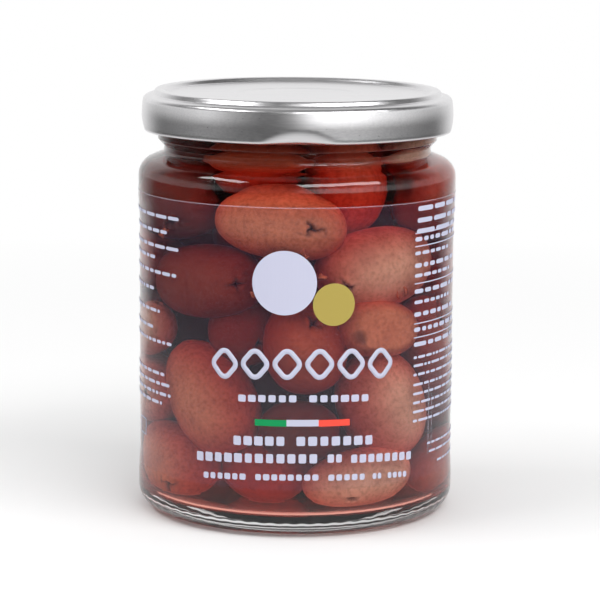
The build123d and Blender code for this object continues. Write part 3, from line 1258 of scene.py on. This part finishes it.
# %% Lid
def tinplate():
    """Clear-lacquered tinplate: satin metal with fine rolling lines."""
    material, tree = new_material("lacquered_rolled_tinplate")
    coords = add_node(tree, COORDS).outputs["Object"]
    along_lines, across_lines = 1 / (14 * MM), 1 / (0.35 * MM)
    lines = add_node(
        tree, "ShaderNodeMapping", Vector=coords, Scale=(along_lines, across_lines, across_lines)
    )
    grain = add_node(tree, NOISE, Vector=lines, Scale=1.0, Detail=4.0, Roughness=0.6)
    rough = add_node(tree, RANGE, Value=grain, To_Min=0.24, To_Max=0.36)
    tint = add_node(tree, RAMP, {"stops": [(0.3, "#dcdbdd"), (0.7, "#ebeaeb")]}, grain)
    bump = add_node(tree, "ShaderNodeBump", Strength=0.1, Distance=0.02 * MM, Height=grain)
    shader = add_node(tree, PRINCIPLED, Base_Color=tint, Metallic=1.0, Roughness=rough, Normal=bump)
    add_node(tree, OUTPUT, Surface=shader)
    return material


lid = turned("lid_pressed", lid_outline, 360, press_lugs)
lid.data.materials.append(tinplate())
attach(lid, "root")
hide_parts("lid")

# %% [markdown]
# ## Studio
# A pale floor, a white surround and two soft boxes: a broad one in front on the right and a narrow
# one high on the left. Floor and surround look different to light that is mirrored and to light
# that is bent, as a studio does in which cards stand where only the glass can see them.


# %% Floor, surround and lamps
def only_mirrored(tree, rays):
    """1 for light that was last mirrored, and 0 for light that was bent through the glass."""
    clamped = {"operation": "SUBTRACT", "use_clamp": True}
    return add_node(tree, MATHS, clamped, rays["Is Glossy Ray"], rays["Is Transmission Ray"])


def pale_floor():
    """Matt pale board that fades into a dark room in front of the jar and a white one behind it."""
    material, tree = new_material("pale_floor_board")
    board = add_node(tree, "ShaderNodeBsdfDiffuse", Color=linear("#f2f2f2"))
    white = add_node(tree, "ShaderNodeEmission", Color=WHITE, Strength=1.0)
    coords = add_node(tree, COORDS).outputs["Object"]
    away = add_node(tree, "ShaderNodeVectorMath", "LENGTH", coords).outputs["Value"]
    rays = add_node(tree, "ShaderNodeLightPath").outputs
    # What the camera sees past the shadow is plain white
    clear = add_node(tree, RANGE, Value=away, From_Min=0.10, From_Max=0.45)
    bare = add_node(tree, MATHS, "MULTIPLY", rays["Is Camera Ray"], clear)
    seen = add_node(tree, "ShaderNodeMixShader", None, bare, board, white)
    # What shines into the glass is painted light that the floor gives off: under the jar a red
    # glow, for light that has come down through the brine, which warms the heel, then a darker ring
    # of painted shadow, and a lit table further out
    lit = [(0.0, "#f0a494"), (0.12, "#b47e7a"), (0.3, "#d4c4c8"), (0.6, "#ffffff")]
    out_share = add_node(tree, RANGE, Value=away, From_Min=0.03, From_Max=0.45)
    glow = add_node(tree, RAMP, {"stops": lit}, out_share)
    piped = add_node(tree, "ShaderNodeEmission", Color=glow, Strength=1.0)
    seen = add_node(tree, "ShaderNodeMixShader", None, rays["Is Transmission Ray"], seen, piped)
    # What polished pieces mirror; Y over the distance is the share that lies straight behind
    fall = add_node(tree, RANGE, Value=away, From_Min=0.11, From_Max=0.38, To_Min=0.88, To_Max=0.02)
    across = add_node(tree, SPLIT, Vector=coords).outputs["Y"]
    backward = add_node(tree, MATHS, "DIVIDE", across, away)
    full = add_node(tree, RANGE, Value=away, From_Min=0.4, From_Max=0.6, To_Min=0.78, To_Max=0.9)
    rear = add_node(tree, RANGE, Value=backward, From_Min=0.5, From_Max=full)
    level = add_node(tree, MATHS, "MAXIMUM", fall, rear)
    mirrored = add_node(tree, "ShaderNodeEmission", Color=WHITE, Strength=level)
    beyond = add_node(tree, RANGE, Value=away, From_Min=0.04, From_Max=0.08)
    factor = add_node(tree, MATHS, "MULTIPLY", only_mirrored(tree, rays), beyond)
    seen = add_node(tree, "ShaderNodeMixShader", None, factor, seen, mirrored)
    add_node(tree, OUTPUT, Surface=seen)
    return material


far = 4000
floor = mesh_object(
    "floor", [(-far, -far, 0), (far, -far, 0), (far, far, 0), (-far, far, 0)], [(0, 1, 2, 3)]
)
floor.data.materials.append(pale_floor())

world = bpy.data.worlds.new("studio_surround")
bpy.context.scene.world = world
world.use_nodes = True
surround = world.node_tree
surround.nodes.clear()
rays = add_node(surround, "ShaderNodeLightPath").outputs
way = add_node(surround, COORDS).outputs["Generated"]
split = add_node(surround, SPLIT, Vector=way).outputs
turn_back = add_node(surround, MATHS, "MULTIPLY", split["Y"], -1.0)
azimuth = add_node(surround, MATHS, "ARCTAN2", split["X"], turn_back)
round_share = add_node(surround, RANGE, Value=azimuth, From_Min=-pi, From_Max=pi)
# What polished pieces mirror, by turn: white behind, a wide window front right, a narrow one left
windows = [(0.0, 0.36), (0.08, 0.36), (0.14, 0.32), (0.25, 0.35), (0.31, 0.50), (0.36, 0.25)]
windows += [(0.43, 0.05), (0.49, 0.07), (0.54, 0.9), (0.62, 0.9), (0.68, 0.55), (0.80, 0.30)]
windows += [(0.86, 0.32), (0.92, 0.36), (1.0, 0.36)]
around = add_node(surround, RAMP, {"stops": windows}, round_share)
falling = [(0.0, 1.0), (0.28, 1.0), (0.42, 0.12), (0.6, 0.03)]
low_down = add_node(surround, RAMP, {"stops": falling}, split["Z"])
behind = add_node(surround, RANGE, Value=split["Y"], From_Min=0.4, From_Max=0.72, To_Max=0.95)
overhead = add_node(surround, RANGE, Value=split["Z"], From_Min=0.86, From_Max=0.97, To_Max=0.30)
mirror = around
window_light = 2.3
steps = (("MULTIPLY", low_down), ("MULTIPLY", window_light))
steps += (("MAXIMUM", behind), ("MAXIMUM", overhead))
for operation, value in steps:
    mirror = add_node(surround, MATHS, operation, mirror, value)
# What shines through the glass: a little more from the right, and less from straight behind, so
# that the heel's thick glass doesn't fill with white
ceiling = [(0.0, 1.0), (0.3, 1.0), (0.75, 1.0), (1.0, 0.5)]
light_band = add_node(surround, RAMP, {"stops": ceiling}, split["Z"])
sideways = add_node(
    surround, RANGE, Value=split["X"], From_Min=-1.0, From_Max=1.0, To_Min=1.4, To_Max=2.2
)
shining = add_node(surround, MATHS, "MULTIPLY", light_band, sideways)
from_front = add_node(
    surround, RANGE, Value=split["Y"], From_Min=0.25, From_Max=0.6, To_Min=1.0, To_Max=0.38
)
shining = add_node(surround, MATHS, "MULTIPLY", shining, from_front)
plain_light = add_node(surround, RANGE, Value=rays["Is Diffuse Ray"], To_Min=1.1, To_Max=0.65)
number = {"data_type": "FLOAT"}
inside_glass = add_node(
    surround, MIX, number, _0=rays["Is Transmission Ray"], _2=plain_light, _3=shining
)
mirrors = only_mirrored(surround, rays)
seen = add_node(surround, MIX, number, _0=mirrors, _2=inside_glass, _3=mirror)
sky = add_node(surround, "ShaderNodeBackground", Color=WHITE, Strength=seen)
add_node(surround, "ShaderNodeOutputWorld", Surface=sky)


def soft_box(name, turn, rise, distance, width, height, watts):
    """A rectangular lamp at a turn and rise (degrees) from the jar's middle, facing it."""
    light = bpy.data.lights.new(name, "AREA")
    light.shape = "RECTANGLE"
    light.size, light.size_y = width * MM, height * MM
    light.energy = watts
    obj = in_scene(name, light)
    out, _, up = tangent_frame(turn)
    way = Vector(tilted(out, up, rise))
    obj.location = Vector((0, 0, 50 * MM)) + way * distance * MM
    obj.rotation_euler = way.to_track_quat("Z", "Y").to_euler()


soft_box("right_soft_box", 36, 43, 1200, 1200, 320, 9)
soft_box("left_soft_box", -72, 50, 1200, 700, 220, 4)

# %% [markdown]
# ## Camera
# A long lens about two thirds of a metre away, a little above the lid and tilted down to the jar.

# %% Camera
camera_distance = 645
camera_height = 156
camera_side = 0.9
camera_tilt = 9.45
camera_roll = 0.45
camera_data = bpy.data.cameras.new("camera")
camera_data.sensor_width = 36.0
camera_data.lens = 166.8
camera_data.clip_start = 0.01
camera = in_scene("camera", camera_data)
camera.matrix_world = (
    Matrix.Translation(Vector((camera_side, -camera_distance, camera_height)) * MM)
    @ Matrix.Rotation(radians(90 - camera_tilt), 4, "X")
    @ Matrix.Rotation(radians(camera_roll), 4, "Z")
)
bpy.context.scene.camera = camera
bpy.context.scene.view_settings.view_transform = "Standard"
